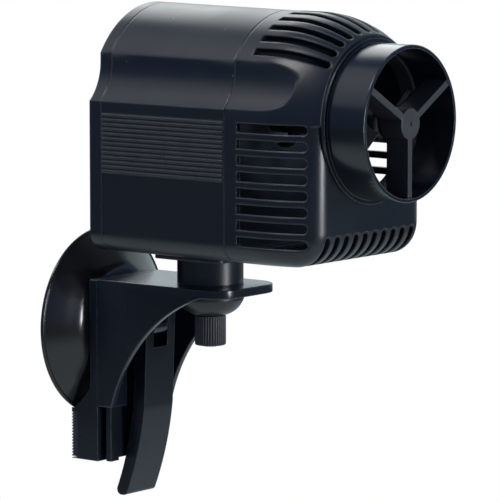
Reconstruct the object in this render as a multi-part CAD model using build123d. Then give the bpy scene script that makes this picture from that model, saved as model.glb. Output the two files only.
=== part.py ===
from build123d import *
import os
from math import acos, atan2, cos, degrees, pi, radians, sin, sqrt

os.makedirs("parts", exist_ok=True)

# A wave maker pump on a lever-locked suction mount, for the glass wall of an aquarium or pond tank.
# Frame: the origin is the centre of the suction cup's rim, in the plane of the glass.
# +Y points into the glass, -Y is the way the water leaves the nozzle, and +Z is up.
# Every length is in millimetres. X is left and right, and the pump is symmetric about X = 0.

# ---------------------------------------------------------------- fits and common gaps
RUNNING_GAP = 0.06        # radial, between a shaft and the bore it turns or slides in
SLIDE_GAP = 0.15          # between the bracket's channel and the rail
LOOSE_GAP = 0.30          # around soft parts and between pieces that only pass each other
OVERRUN = 2.0             # how far a cutting shape runs past what it cuts

# ---------------------------------------------------------------- suction cup
CUP_R = 35.3              # rim radius
CUP_LIP_T = 1.1           # thickness of the soft lip that lies on the glass
CUP_LIP_W = 1.2           # width of the lip outside the dome
CUP_SHOULDER_R = 20.1     # where the flat top, which carries the rail, meets the cone
CUP_SHOULDER_ROUND = 8.0
CUP_WALL = 2.4            # rubber thickness of the dome
CUP_CORE_R = 12.5         # thick middle that grips the stem's plate
CUP_CORE_DEPTH = 3.2      # from the glass plane to the thick middle

# ---------------------------------------------------------------- rail that stands on the cup
RAIL_HALF_W = 18.0
RAIL_TOP = 18.0
RAIL_BOTTOM = -49.8
RAIL_FRONT = -12.5        # front of the rail's plate
RAIL_PLATE_T = 3.5
RAIL_CORNER_R = 1.0       # rounding of the plate's upper corners
LEG_WALL = 2.4            # the side and bottom walls that reach back to the glass
LEG_TOP = -12.0           # the side walls begin below this height
ROOM_MIDDLE = (32.6, -5.2)  # radius and depth halfway up the rounded space round the cup
ROOM_TOP_R = 28.9         # radius where that space meets the rail's plate
TOOTH_PITCH = 1.1         # fine teeth along the edges that press on the glass
TOOTH_DEPTH = 2.4         # length of the teeth, back from the glass
TOOTH_SLIT = 0.5          # width of the slit between two teeth
TONGUE_NECK_HALF_W = 9.5
TONGUE_NECK_T = 2.1
TONGUE_HEAD_T = 2.3
TONGUE_END_STEP = 1.1     # the middle of the tongue ends this much above its sides
TONGUE_END_HALF_W = 11.1

# ---------------------------------------------------------------- bracket
PLATE_T = 3.2
PLATE_FRONT = -71.0
PLATE_CORNER_R = 9.3
GUSSET_T = 2.3
GUSSET_BOTTOM = -29.3
GUSSET_TOE = -61.0        # where the gussets' hollow front edge meets the plate
GUSSET_ARC_R = 64.0
CHANNEL_FRONT_T = 1.9     # flange in front of the tongue's head
CHANNEL_LIP_HALF_W = 8.7  # half of the opening between the two flanges

# ---------------------------------------------------------------- stem, pin and locking lever
STEM_R = 3.5
STEM_PLATE_R = 9.0
STEM_PLATE_T = 1.8
EYE_R = 3.6
EYE_HALF_W = 3.7
PIVOT_Y = -24.6
PIN_R = 1.5
PIN_CHAMFER = 0.3
LEVER_HALF_W = 8.2
LEVER_FRONT = -28.2
LEVER_T = 5.3             # thickness, measured along Y
LEVER_LEAN = 1.3          # how far the straight stretch leans back towards the glass at its foot
LEVER_TIP_Z = -63.4
LEVER_MID_BACK = 4.5      # how far back the middle of the bend lies
LEVER_TIP_BACK = 10.4     # how far back the tip lies
LEVER_BEND_Z = -29.0      # where the straight stretch ends
LEVER_TIP_R = 2.0
LEVER_SLOT_HALF_W = 4.0
LEVER_SLOT_BOTTOM = -7.6
LEVER_TURN = 65.0         # degrees from locked to released, just short of the loosened clamp nut
CAM_LIFT = 2.2            # how far the lever pulls the stem between released and locked
CAM_HEEL = -5.0           # lower end of the cam's flat
CAM_GAP = 0.05
CAM_CROWN = 0.8           # flat left on top of the cam
CAM_HEAD_H = 1.0          # height of the lever's top above the end of the cam

# ---------------------------------------------------------------- swivel clamp
STALK_Y = -51.5
STALK_R = 12.1
SPIGOT_R = 6.0
STUD_R = 3.0
STUD_TAIL = 0.6           # the stud's lower end stands out of the nut by this much
STUD_GRIP = 9.0           # length of stud inside the stalk
STUD_CHAMFER = 0.5
WASHER_R = 12.3
WASHER_H = 8.5
WASHER_FOOT_R = 4.7
WASHER_RIM_H = 2.2        # upright part of its side, under the plate
WASHER_WALL = 1.6
WASHER_HOLLOW_H = 2.7
WASHER_BULGE = 1.0        # how far its side swells beyond a plain cone
NUT_R = 5.7
NUT_H = 10.9
NUT_RIDGES = 36
NUT_RIDGE_H = 0.35
NUT_RIDGE_SHARE = 0.36    # share of the pitch that a ridge's flat top takes
NUT_VALLEY_SHARE = 0.36   # and the flat of the valley beside it
FOOT_PAD_T = 3.7
FOOT_PAD_HALF_W = 15.0
FOOT_PAD_BACK = 15.2      # how far the pad reaches behind the stalk's axis
FOOT_PAD_FORE = 16.0
FOOT_PAD_CORNER_R = 3.0

# ---------------------------------------------------------------- pump casing
BODY_HALF_W = 36.3
BODY_BOTTOM = 31.2
AXIS_Z = 81.0             # height of the rotor and nozzle
ARCH_H_SEAM = 37.6        # height of the arched top over the rotor's axis, at the front joint
ARCH_H_REAR = ARCH_H_SEAM + 1.0  # and at the rear face
BODY_WALL = 2.4
BODY_EDGE_R = 7.5         # rounding of the lower long edges
RECESS_X = 30.1           # the sides step in to this half-width below the arch
RECESS_EDGE_Z = 85.7      # crisp edge at the foot of the recess
RECESS_SCOOP_R = 18.5     # hollow curve between the crisp edge and the recess's wall
REAR_Y = -24.3
REAR_LINE_Y = -30.4       # joint between rear cover and motor housing
SEAM_Y = -86.8            # joint between motor housing and slotted front cover
RIB_COUNT = 13
RIB_TOP_Z = 80.8
RIB_PITCH = 1.68
RIB_T = 0.8
RIB_H = 0.45
RIB_END_MARGIN = 0.6
SPIGOT_LIP_T = 1.6        # lips that locate the front and rear covers
SPIGOT_LIP_L = 2.6
REAR_EDGE_R = 1.5

# ---------------------------------------------------------------- slotted front cover
COVER_FRONT = -124.1
COVER_ARC_START = -100.0  # the sides and the arch begin to close in here
COVER_FRONT_HALF_W = 29.5
COVER_TOE_R = 12.5        # rounding of the front lower edge
RECESS_END_Y = -114.1
RECESS_END_R = 9.0
SLOT_REAR = -92.2
SIDE_SLOTS = 8
SIDE_SLOT_H = 3.25
SIDE_SLOT_PITCH = 5.7
SIDE_SLOT_TOP = 79.6      # centre of the highest side slot
SIDE_SLOT_FRONT = -120.0
SIDE_SLOT_FLOOR_X = 22.0  # how far in from the middle the side slots' cutters reach
TOP_SLOTS = 11
TOP_SLOT_W = 3.1
TOP_SLOT_STEP = 9.6       # degrees between top slots
TOP_SLOT_REAR = -93.4
TOP_SLOT_FRONT = -123.0
TOP_SLOT_FLOOR_R = 27.5
FRONT_SLOTS = 10
FRONT_SLOT_W = 3.1
FRONT_SLOT_PITCH = 5.5
FRONT_SLOT_TOP = 42.3
FRONT_SLOT_BACK = -112.5

# ---------------------------------------------------------------- outlet nozzle and guard
NOZZLE_FRONT = -141.0
NOZZLE_R = 27.55
NOZZLE_WALL = 1.35
NOZZLE_FLANGE_R = 29.2
NOZZLE_FLANGE_T = 1.2
NOZZLE_PLUG_L = 5.0       # length of tube behind the cover's front face
NOZZLE_RIM_R = 0.4        # rounding of the rim and of the guard's hub
GUARD_DEPTH = 9.5
GUARD_SPOKE_T = 2.4
GUARD_HUB_R = 5.5
GUARD_DIMPLE_R = 0.8
GUARD_DIMPLE_DEPTH = 0.6
GUARD_INSET = 0.3         # the spokes stand this far behind the nozzle's rim
FRONT_BUSH_R = 3.5
FRONT_BUSH_REACH = 3.2    # from the nozzle's rim to the bush's closed end
GUARD_SPOKES = 3

# ---------------------------------------------------------------- rotor
SHAFT_R = 1.5
SHAFT_CHAMFER = 0.3
SHAFT_FRONT_INSET = 4.75  # from the nozzle's rim to the shaft's front end
WELL_R = 11.4             # inside radius of the rotor's well
WELL_WALL = 1.1
WELL_REAR = -50.0         # closed end of the well, inside face
BUSH_R = 4.2
BUSH_L = 5.0
BUSH_FLOOR_T = 1.0        # closed end of the rear bush
THRUST_T = 1.0
MAGNET_R = 10.4
MAGNET_REAR = -57.2
MAGNET_FRONT = -82.0
MAGNET_CHAMFER = 0.6
NECK_R = 6.2
HUB_R = 7.0
HUB_L = 18.9
HUB_NOSE_R = 2.0
BLADE_ROOT_DEPTH = 1.5    # how deep a blade's root sits in the hub
BLADE_COUNT = 2
BLADE_TIP_R = 18.6
BLADE_CHORD = 10.0
BLADE_T = 1.4
BLADE_PITCH = 44.0        # degrees from the rotor's axis
BLADE_TURN = 38.0         # angle of the first blade above +X
BLADE_GAP = 0.9           # from the guard to the blades' front edges
BLADE_CORNER_R = 3.5

# ---------------------------------------------------------------- motor windings
CORE_T = 20.0             # stack height of the laminations, along the rotor
CORE_MID_Y = -69.5
CORE_LEG_W = 10.0
CORE_SIDE_ROOM = 12.3     # from the casing's outside to the core, which leaves room for the coils
CORE_YOKE_T = 8.5
CORE_TOP_Z = 93.0
CORE_BORE_GAP = 0.3
CORE_POLE_GAP = 4.0       # between the tips of the two poles
COIL_BUILD = 4.6
COIL_H = 20.0
COIL_END_GAP = 1.0
COIL_CORNER_R = 2.0
BOBBIN_WALL = 0.9
POTTING_REAR_GAP = 3.4
POTTING_T = 12.0

# ---------------------------------------------------------------- cable gland
GLAND_X = 0.0
GLAND_Z = 104.7
GLAND_R = 5.4
GLAND_NECK_R = 4.2        # where it passes through the rear cover
GLAND_END_R = 1.0
GLAND_OUT = 13.3
GLAND_BORE_R = 2.9
GLAND_FLANGE_T = 1.2

# ---------------------------------------------------------------- worked-out places
RAIL_REAR = RAIL_FRONT + RAIL_PLATE_T
TONGUE_HEAD_HALF_W = RAIL_HALF_W - GUSSET_T - SLIDE_GAP
PLATE_TOP = RAIL_TOP
PLATE_UNDER = PLATE_TOP - PLATE_T
TONGUE_FRONT = RAIL_FRONT - TONGUE_NECK_T - TONGUE_HEAD_T
CHANNEL_FRONT = TONGUE_FRONT - SLIDE_GAP - CHANNEL_FRONT_T
BRACKET_REAR = RAIL_FRONT - SLIDE_GAP
NUT_TOP = PLATE_UNDER - WASHER_H
STUD_END = NUT_TOP - NUT_H - STUD_TAIL
PAD_UNDER = BODY_BOTTOM - FOOT_PAD_T
SCOOP_MIDDLE = (RECESS_X + RECESS_SCOOP_R,
                RECESS_EDGE_Z + sqrt(RECESS_SCOOP_R**2 - (RECESS_X + RECESS_SCOOP_R - BODY_HALF_W)**2))
ARC_DROP = BODY_HALF_W - COVER_FRONT_HALF_W
ARC_RUN = COVER_ARC_START - COVER_FRONT
COVER_ARC_R = (ARC_RUN**2 + ARC_DROP**2) / (2 * ARC_DROP)
GUARD_REAR = NOZZLE_FRONT + GUARD_DEPTH
HUB_FRONT = GUARD_REAR + 2 * LOOSE_GAP
HUB_REAR = HUB_FRONT + HUB_L
BLADE_FRONT = GUARD_REAR + BLADE_GAP
CORE_LEG_OUT = BODY_HALF_W - CORE_SIDE_ROOM
CORE_LEG_IN = CORE_LEG_OUT - CORE_LEG_W
NOZZLE_BORE_R = NOZZLE_R - NOZZLE_WALL
PLUG_BORE_R = NOZZLE_R - NOZZLE_WALL / 2
BUSH_FRONT = NOZZLE_FRONT + FRONT_BUSH_REACH
SHAFT_FRONT = NOZZLE_FRONT + SHAFT_FRONT_INSET
SHAFT_REAR = WELL_REAR - BUSH_FLOOR_T


def rod(radius, y_from, y_to, x=0.0, z=0.0):
    """A round bar along Y between two depths."""
    length = abs(y_to - y_from)
    return Pos(x, (y_from + y_to) / 2, z) * Rot(90, 0, 0) * Cylinder(radius, length)


def block(x, y, z):
    """A box given by its (low, high) limits on each axis."""
    centre = Pos((x[0] + x[1]) / 2, (y[0] + y[1]) / 2, (z[0] + z[1]) / 2)
    return centre * Box(x[1] - x[0], y[1] - y[0], z[1] - z[0])


def both_sides(solid):
    """The solid and its mirror image across X = 0."""
    return [solid, mirror(solid, Plane.YZ)]


# ---------------------------------------------------------------- suction cup
def round_cone(points, rounding):
    """Turn an outline of (radius, depth) points about Y, with its second point rounded."""
    with BuildSketch(Plane.XY) as sketch:
        with BuildLine():
            Polyline(*points, close=True)
        make_face()
        shoulder = sketch.vertices().sort_by_distance((*points[1], 0))[0]
        fillet(shoulder, rounding)
    return revolve(sketch.sketch, Axis.Y)


def cup_dome():
    """The cup's outer form: a flat-topped cone with a thin lip round its foot."""
    points = [(0, RAIL_REAR), (CUP_SHOULDER_R, RAIL_REAR), (CUP_R - CUP_LIP_W, -CUP_LIP_T),
              (CUP_R, -CUP_LIP_T), (CUP_R, 0), (0, 0)]
    return round_cone(points, CUP_SHOULDER_ROUND)


def cup_hollow():
    """The space under the dome, with a thick middle left standing."""
    rim_r = CUP_R - CUP_LIP_W - CUP_WALL / 2
    roof = RAIL_REAR + CUP_WALL
    points = [(CUP_CORE_R + CUP_WALL, roof), (CUP_SHOULDER_R - CUP_WALL / 4, roof), (rim_r, 0),
              (rim_r, OVERRUN), (0, OVERRUN), (0, -CUP_CORE_DEPTH), (CUP_CORE_R, -CUP_CORE_DEPTH)]
    return round_cone(points, CUP_SHOULDER_ROUND - CUP_WALL)


def suction_cup():
    cup = cup_dome() - cup_hollow()
    plate_y = stem_plate_front()
    cup -= rod(STEM_PLATE_R + LOOSE_GAP, plate_y, plate_y + STEM_PLATE_T)
    cup -= rod(STEM_R + LOOSE_GAP, RAIL_REAR - OVERRUN, plate_y)
    return cup


def stem_plate_front():
    """Front face of the stem's plate, midway through the cup's thick middle."""
    return (RAIL_REAR - CUP_CORE_DEPTH - STEM_PLATE_T) / 2


# ---------------------------------------------------------------- rail
def toothed_rail():
    plate = block((-RAIL_HALF_W, RAIL_HALF_W), (RAIL_FRONT, RAIL_REAR), (RAIL_BOTTOM, RAIL_TOP))
    plate = fillet(plate.edges().filter_by(Axis.Y).group_by(Axis.Z)[-1], RAIL_CORNER_R)
    leg = block((-RAIL_HALF_W, RAIL_HALF_W), (RAIL_REAR, 0), (RAIL_BOTTOM, LEG_TOP))
    leg -= block((-RAIL_HALF_W + LEG_WALL, RAIL_HALF_W - LEG_WALL), (RAIL_REAR, OVERRUN),
                 (RAIL_BOTTOM + LEG_WALL, LEG_TOP + OVERRUN))
    for z in tooth_places():
        leg -= block((-RAIL_HALF_W - OVERRUN, RAIL_HALF_W + OVERRUN), (-TOOTH_DEPTH, OVERRUN),
                     (z - TOOTH_SLIT / 2, z + TOOTH_SLIT / 2))
    leg -= cup_room()
    neck_front = RAIL_FRONT - TONGUE_NECK_T
    tongue_z = (RAIL_BOTTOM, PLATE_UNDER)
    neck = block((-TONGUE_NECK_HALF_W, TONGUE_NECK_HALF_W), (neck_front, RAIL_FRONT), tongue_z)
    head = block((-TONGUE_HEAD_HALF_W, TONGUE_HEAD_HALF_W), (TONGUE_FRONT, neck_front), tongue_z)
    rail = plate + leg + neck + head
    rail -= block((-TONGUE_END_HALF_W, TONGUE_END_HALF_W), (TONGUE_FRONT - OVERRUN, RAIL_FRONT),
                  (RAIL_BOTTOM - OVERRUN, RAIL_BOTTOM + TONGUE_END_STEP))
    rail -= rod(STEM_R + RUNNING_GAP, TONGUE_FRONT - OVERRUN, RAIL_REAR + OVERRUN)
    return rail


def cup_room():
    """The rounded space that the rail's leg leaves round the cup."""
    rim = CUP_R + LOOSE_GAP
    with BuildSketch(Plane.XY) as sketch:
        with BuildLine():
            side = ThreePointArc((rim, -CUP_LIP_T), ROOM_MIDDLE, (ROOM_TOP_R, RAIL_REAR - LOOSE_GAP))
            Polyline(side @ 1, (0, RAIL_REAR), (0, OVERRUN), (rim, OVERRUN), side @ 0)
        make_face()
    return revolve(sketch.sketch, Axis.Y)


def tooth_places():
    """Heights of the slits between the teeth, from the leg's foot up to the cup's rim."""
    highest = -sqrt(CUP_R**2 - RAIL_HALF_W**2) - TOOTH_PITCH
    count = int((highest - RAIL_BOTTOM) / TOOTH_PITCH)
    return [RAIL_BOTTOM + TOOTH_PITCH * (k + 0.5) for k in range(count)]


# ---------------------------------------------------------------- bracket
def support_bracket():
    plate = block((-RAIL_HALF_W, RAIL_HALF_W), (PLATE_FRONT, BRACKET_REAR), (PLATE_UNDER, PLATE_TOP))
    plate = fillet(plate.edges().filter_by(Axis.Z).group_by(Axis.Y)[0], PLATE_CORNER_R)
    plate_mid = PLATE_UNDER + PLATE_T / 2
    with BuildSketch(Plane.YZ) as side:
        with BuildLine():
            hollow = RadiusArc((CHANNEL_FRONT, GUSSET_BOTTOM), (GUSSET_TOE, PLATE_UNDER),
                               -GUSSET_ARC_R)
            Polyline(hollow @ 1, (GUSSET_TOE, plate_mid), (BRACKET_REAR, plate_mid),
                     (BRACKET_REAR, GUSSET_BOTTOM), hollow @ 0)
        make_face()
    gusset = Pos(RAIL_HALF_W - GUSSET_T, 0, 0) * extrude(side.sketch, GUSSET_T, dir=(1, 0, 0))
    channel_z = (GUSSET_BOTTOM, PLATE_UNDER)
    channel = block((CHANNEL_LIP_HALF_W, RAIL_HALF_W), (CHANNEL_FRONT, BRACKET_REAR), channel_z)
    channel -= block((0, TONGUE_HEAD_HALF_W + SLIDE_GAP),
                     (TONGUE_FRONT - SLIDE_GAP, RAIL_FRONT - TONGUE_NECK_T + SLIDE_GAP), channel_z)
    channel -= block((0, TONGUE_NECK_HALF_W + SLIDE_GAP),
                     (RAIL_FRONT - TONGUE_NECK_T, BRACKET_REAR), channel_z)
    bracket = plate
    for piece in both_sides(gusset + channel):
        bracket += piece
    bracket -= Pos(0, STALK_Y, PLATE_UNDER) * Cylinder(SPIGOT_R + RUNNING_GAP, 4 * PLATE_T)
    return bracket


# ---------------------------------------------------------------- stem, pin and lever
def cup_stem():
    plate_y = stem_plate_front()
    stem = rod(STEM_PLATE_R, plate_y, plate_y + STEM_PLATE_T) + rod(STEM_R, PIVOT_Y, plate_y)
    stem += Pos(0, PIVOT_Y, 0) * Rot(0, 90, 0) * Cylinder(EYE_R, 2 * EYE_HALF_W)
    stem -= Pos(0, PIVOT_Y, 0) * Rot(0, 90, 0) * Cylinder(PIN_R + RUNNING_GAP, 4 * EYE_HALF_W)
    return stem


def pivot_pin():
    pin = Cylinder(PIN_R, 2 * LEVER_HALF_W - LOOSE_GAP)
    return Pos(0, PIVOT_Y, 0) * Rot(0, 90, 0) * chamfer(pin.edges(), PIN_CHAMFER)


def cam_points(steps=10):
    """The cam's face from locked to released: its reach falls evenly as the lever turns."""
    reach_locked = TONGUE_FRONT - PIVOT_Y - CAM_GAP
    fall_rate = CAM_LIFT / radians(LEVER_TURN)
    points = []
    for k in range(steps + 1):
        turn = radians(LEVER_TURN) * k / steps
        reach = reach_locked - fall_rate * turn
        points.append((PIVOT_Y + reach * cos(turn) + fall_rate * sin(turn),
                       reach * sin(turn) - fall_rate * cos(turn)))
    return points


def lever():
    cam = cam_points()
    mid_z = (LEVER_BEND_Z + LEVER_TIP_Z) / 2
    bend = [(LEVER_FRONT + LEVER_LEAN, LEVER_BEND_Z), (LEVER_FRONT + LEVER_MID_BACK, mid_z),
            (LEVER_FRONT + LEVER_TIP_BACK, LEVER_TIP_Z)]
    rear_bend = [(y + LEVER_T, z) for y, z in bend]
    top_z = cam[-1][1] + CAM_HEAD_H
    with BuildSketch(Plane.YZ) as side:
        with BuildLine():
            face = Spline(cam)
            Polyline(face @ 1, (PIVOT_Y + CAM_CROWN, top_z), (LEVER_FRONT + CAM_CROWN, top_z),
                     (LEVER_FRONT, top_z - CAM_CROWN), bend[0])
            ThreePointArc(*bend)
            Line(bend[2], rear_bend[2])
            ThreePointArc(*reversed(rear_bend))
            Polyline(rear_bend[0], (LEVER_FRONT + LEVER_T, CAM_HEEL - LEVER_T),
                     (cam[0][0], CAM_HEEL), face @ 0)
        make_face()
    arm = extrude(side.sketch, LEVER_HALF_W, both=True)
    arm = fillet(arm.edges().filter_by(Axis.X).group_by(Axis.Z)[0], LEVER_TIP_R)
    arm -= block((-LEVER_SLOT_HALF_W, LEVER_SLOT_HALF_W), (LEVER_FRONT - OVERRUN, 0),
                 (LEVER_SLOT_BOTTOM, top_z + OVERRUN))
    arm -= Pos(0, PIVOT_Y, 0) * Rot(0, 90, 0) * Cylinder(PIN_R + RUNNING_GAP, 4 * LEVER_HALF_W)
    return arm


# ---------------------------------------------------------------- swivel clamp
def swivel_foot():
    pad = block((-FOOT_PAD_HALF_W, FOOT_PAD_HALF_W), (STALK_Y - FOOT_PAD_FORE, STALK_Y + FOOT_PAD_BACK),
                (PAD_UNDER, BODY_BOTTOM))
    pad = fillet(pad.edges().filter_by(Axis.Z), FOOT_PAD_CORNER_R)
    stalk_h = PAD_UNDER - PLATE_TOP
    foot = pad + Pos(0, STALK_Y, PLATE_TOP + stalk_h / 2) * Cylinder(STALK_R, stalk_h)
    spigot_h = PLATE_T - LOOSE_GAP
    foot += Pos(0, STALK_Y, PLATE_TOP - spigot_h / 2) * Cylinder(SPIGOT_R, spigot_h)
    foot -= Pos(0, STALK_Y, PLATE_TOP) * Cylinder(STUD_R, 2 * STUD_GRIP)
    return foot


def clamp_stud():
    height = PLATE_TOP + STUD_GRIP - STUD_END
    stud = Pos(0, STALK_Y, STUD_END + height / 2) * Cylinder(STUD_R, height)
    return chamfer(stud.edges().group_by(Axis.Z)[0], STUD_CHAMFER)


def bowl_washer():
    rim_z = PLATE_UNDER - WASHER_RIM_H
    bulge = ((WASHER_R + WASHER_FOOT_R) / 2 + WASHER_BULGE, (rim_z + NUT_TOP) / 2 - WASHER_BULGE)
    bore_r = STUD_R + LOOSE_GAP
    hollow_r = WASHER_R - WASHER_WALL
    hollow_z = PLATE_UNDER - WASHER_HOLLOW_H
    with BuildSketch(Plane.XZ) as half:
        with BuildLine():
            bowl = ThreePointArc((WASHER_FOOT_R, NUT_TOP), bulge, (WASHER_R, rim_z))
            Polyline(bowl @ 0, (bore_r, NUT_TOP), (bore_r, hollow_z), (hollow_r, hollow_z),
                     (hollow_r, PLATE_UNDER), (WASHER_R, PLATE_UNDER), bowl @ 1)
        make_face()
    return Pos(0, STALK_Y, 0) * revolve(half.sketch, Axis.Z)


def knurled_nut():
    step = 2 * pi / NUT_RIDGES
    valley_r = NUT_R - NUT_RIDGE_H
    ridge = NUT_RIDGE_SHARE / 2
    valley = (1 - NUT_VALLEY_SHARE) / 2
    points = []
    for k in range(NUT_RIDGES):
        for share, r in ((-valley, valley_r), (-ridge, NUT_R), (ridge, NUT_R), (valley, valley_r)):
            angle = (k + share) * step
            points.append((r * cos(angle), r * sin(angle)))
    with BuildSketch() as outline:
        Polygon(*points, align=None)
    middle = Pos(0, 0, NUT_TOP - NUT_H / 2)
    barrel = middle * Cylinder(NUT_R, NUT_H)
    nut = middle * extrude(outline.sketch, NUT_H / 2, both=True)
    nut &= chamfer(barrel.edges(), NUT_RIDGE_H)
    nut -= middle * Cylinder(STUD_R + RUNNING_GAP, NUT_H + OVERRUN)
    return Pos(0, STALK_Y, 0) * nut


# ---------------------------------------------------------------- pump casing
def arch_height(y):
    """Height of the arched top over the rotor's axis: it rises evenly towards the rear."""
    share = (y - SEAM_Y) / (REAR_Y - SEAM_Y)
    return ARCH_H_SEAM + (ARCH_H_REAR - ARCH_H_SEAM) * share


def casing_outline(inset, y):
    """The casing's section across the rotor: arched top, stepped sides, rounded lower edges."""
    half_w = BODY_HALF_W - inset
    step_x = RECESS_X - inset
    arch_h = arch_height(y) - inset
    arch_turn = acos(step_x / half_w)
    arch_end_z = AXIS_Z + arch_h * sin(arch_turn)
    scoop_r = RECESS_SCOOP_R + inset
    scoop_x, scoop_z = SCOOP_MIDDLE
    low_turn = acos((half_w - scoop_x) / scoop_r)
    mid_turn = (pi + low_turn) / 2
    edge_r = BODY_EDGE_R - inset
    floor_z = BODY_BOTTOM + inset
    bend = edge_r * (1 - 1 / sqrt(2))
    with BuildSketch(Plane.XZ) as section:
        with BuildLine():
            EllipticalCenterArc((0, AXIS_Z), half_w, arch_h, start_angle=degrees(arch_turn),
                                arc_size=180 - 2 * degrees(arch_turn))
            for s in (1, -1):
                shoulder = (s * half_w, scoop_z - scoop_r * sin(low_turn))
                scoop_mid = (s * (scoop_x + scoop_r * cos(mid_turn)), scoop_z - scoop_r * sin(mid_turn))
                Line((s * step_x, arch_end_z), (s * step_x, scoop_z))
                ThreePointArc((s * step_x, scoop_z), scoop_mid, shoulder)
                Line(shoulder, (s * half_w, floor_z + edge_r))
                ThreePointArc((s * half_w, floor_z + edge_r), (s * (half_w - bend), floor_z + bend),
                              (s * (half_w - edge_r), floor_z))
            Line((half_w - edge_r, floor_z), (-half_w + edge_r, floor_z))
        make_face()
    return Pos(0, y, 0) * section.sketch


def casing(inset, y_from, y_to):
    """A length of the casing as one block."""
    return loft([casing_outline(inset, y_from), casing_outline(inset, y_to)], ruled=True)


def motor_housing():
    housing = casing(0, SEAM_Y, REAR_LINE_Y)
    housing -= casing(BODY_WALL, SEAM_Y + BODY_WALL, REAR_LINE_Y + OVERRUN)
    housing += locating_lip(SEAM_Y)
    rib_y = (SEAM_Y + RIB_END_MARGIN, REAR_LINE_Y - RIB_END_MARGIN)
    for k in range(RIB_COUNT):
        z = RIB_TOP_Z - k * RIB_PITCH
        rib = block((BODY_HALF_W - RIB_H, BODY_HALF_W + RIB_H), rib_y, (z - RIB_T / 2, z + RIB_T / 2))
        for piece in both_sides(rib):
            housing += piece
    housing += rod(WELL_R + WELL_WALL, WELL_REAR + WELL_WALL, SEAM_Y + BODY_WALL / 2, z=AXIS_Z)
    housing -= rod(WELL_R, WELL_REAR, SEAM_Y - SPIGOT_LIP_L - OVERRUN, z=AXIS_Z)
    housing += bush_seat()
    return housing


def locating_lip(y):
    """The raised lip in front of a joint face, which keeps the next cover in place."""
    lip = casing(BODY_WALL + SLIDE_GAP, y - SPIGOT_LIP_L, y)
    return lip - casing(BODY_WALL + SLIDE_GAP + SPIGOT_LIP_T, y - SPIGOT_LIP_L, y)


def bush_seat():
    """A ring at the closed end of the well that holds the rear bush."""
    ring = rod(WELL_R, WELL_REAR - BUSH_L, WELL_REAR, z=AXIS_Z)
    return ring - rod(BUSH_R, WELL_REAR - BUSH_L, WELL_REAR, z=AXIS_Z)


def rear_cover():
    cover = casing(0, REAR_LINE_Y, REAR_Y)
    cover = fillet(cover.faces().sort_by(Axis.Y)[-1].edges(), REAR_EDGE_R)
    cover += locating_lip(REAR_LINE_Y)
    cover -= rod(GLAND_NECK_R, REAR_LINE_Y - OVERRUN, REAR_Y + OVERRUN, x=GLAND_X, z=GLAND_Z)
    return cover


def cable_gland():
    place = dict(x=GLAND_X, z=GLAND_Z)
    gland = rod(GLAND_R, REAR_Y, REAR_Y + GLAND_OUT, **place)
    gland = fillet(gland.edges().group_by(Axis.Y)[-1], GLAND_END_R)
    gland += rod(GLAND_NECK_R, REAR_LINE_Y, REAR_Y, **place)
    gland += rod(GLAND_R, REAR_LINE_Y - GLAND_FLANGE_T, REAR_LINE_Y, **place)
    gland -= rod(GLAND_BORE_R, REAR_LINE_Y - OVERRUN, REAR_Y + GLAND_OUT + OVERRUN, **place)
    return gland


# ---------------------------------------------------------------- slotted front cover
def cover_plan(inset):
    """Half of the cover's outline from above: straight sides that close in towards the front."""
    half_w = BODY_HALF_W - inset
    front = COVER_FRONT + inset
    arc_r = COVER_ARC_R - inset
    mid_x = BODY_HALF_W - COVER_ARC_R
    front_x = mid_x + sqrt(arc_r**2 - (COVER_ARC_START - front)**2)
    half_turn = atan2(COVER_ARC_START - front, front_x - mid_x) / 2
    middle = (mid_x + arc_r * cos(half_turn), COVER_ARC_START - arc_r * sin(half_turn))
    with BuildSketch(Plane.XY) as plan:
        with BuildLine():
            Line((0, SEAM_Y), (half_w, SEAM_Y))
            Line((half_w, SEAM_Y), (half_w, COVER_ARC_START))
            ThreePointArc((half_w, COVER_ARC_START), middle, (front_x, front))
            Line((front_x, front), (0, front))
            Line((0, front), (0, SEAM_Y))
        make_face()
    return plan.sketch


def cover_form(inset):
    """The cover as one block: an arch turned about the rotor's axis over a straight-sided base."""
    plan = cover_plan(inset)
    arch = revolve(plan, Axis.Y, 180)
    if arch.center().Z < 0:
        arch = mirror(arch, Plane.XY)
    arch = Pos(0, 0, AXIS_Z) * scale(arch, by=(1, 1, (ARCH_H_SEAM - inset) / (BODY_HALF_W - inset)))
    floor_z = BODY_BOTTOM + inset
    base = Pos(0, 0, floor_z) * extrude(plan + mirror(plan, Plane.YZ), AXIS_Z - floor_z)
    toe = base.edges().filter_by(Axis.X).group_by(Axis.Z)[0].sort_by(Axis.Y)[0]
    base = fillet(toe, COVER_TOE_R - inset)
    near_side = COVER_FRONT_HALF_W - inset - LOOSE_GAP
    rims = [e for e in base.edges() if abs(e.center().X) > near_side
            and e.center().Z < AXIS_Z - OVERRUN and e.center().Y < SEAM_Y - OVERRUN]
    return arch + fillet(rims, BODY_EDGE_R - inset)


def recess_tool(inset):
    """What the side recess takes out of the cover's right side."""
    low, top = RECESS_EDGE_Z - inset, AXIS_Z + ARCH_H_SEAM + OVERRUN
    end_y, rear_y = RECESS_END_Y - inset, SEAM_Y + OVERRUN
    end_r = RECESS_END_R + inset
    with BuildSketch(Plane.YZ) as side:
        with BuildLine():
            bottom = Line((rear_y, low), (end_y + end_r, low))
            corner = JernArc(bottom @ 1, bottom % 1, end_r, -90)
            Polyline(corner @ 1, (end_y, top), (rear_y, top), bottom @ 0)
        make_face()
    outline = extrude(side.sketch, 2 * BODY_HALF_W, dir=(1, 0, 0))
    scoop_x, scoop_z = SCOOP_MIDDLE
    room = rod(RECESS_SCOOP_R + inset, end_y - OVERRUN, rear_y + OVERRUN, x=scoop_x, z=scoop_z)
    room += block((RECESS_X - inset, scoop_x), (end_y - OVERRUN, rear_y + OVERRUN),
                  (scoop_z, top + OVERRUN))
    return outline & room


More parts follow.
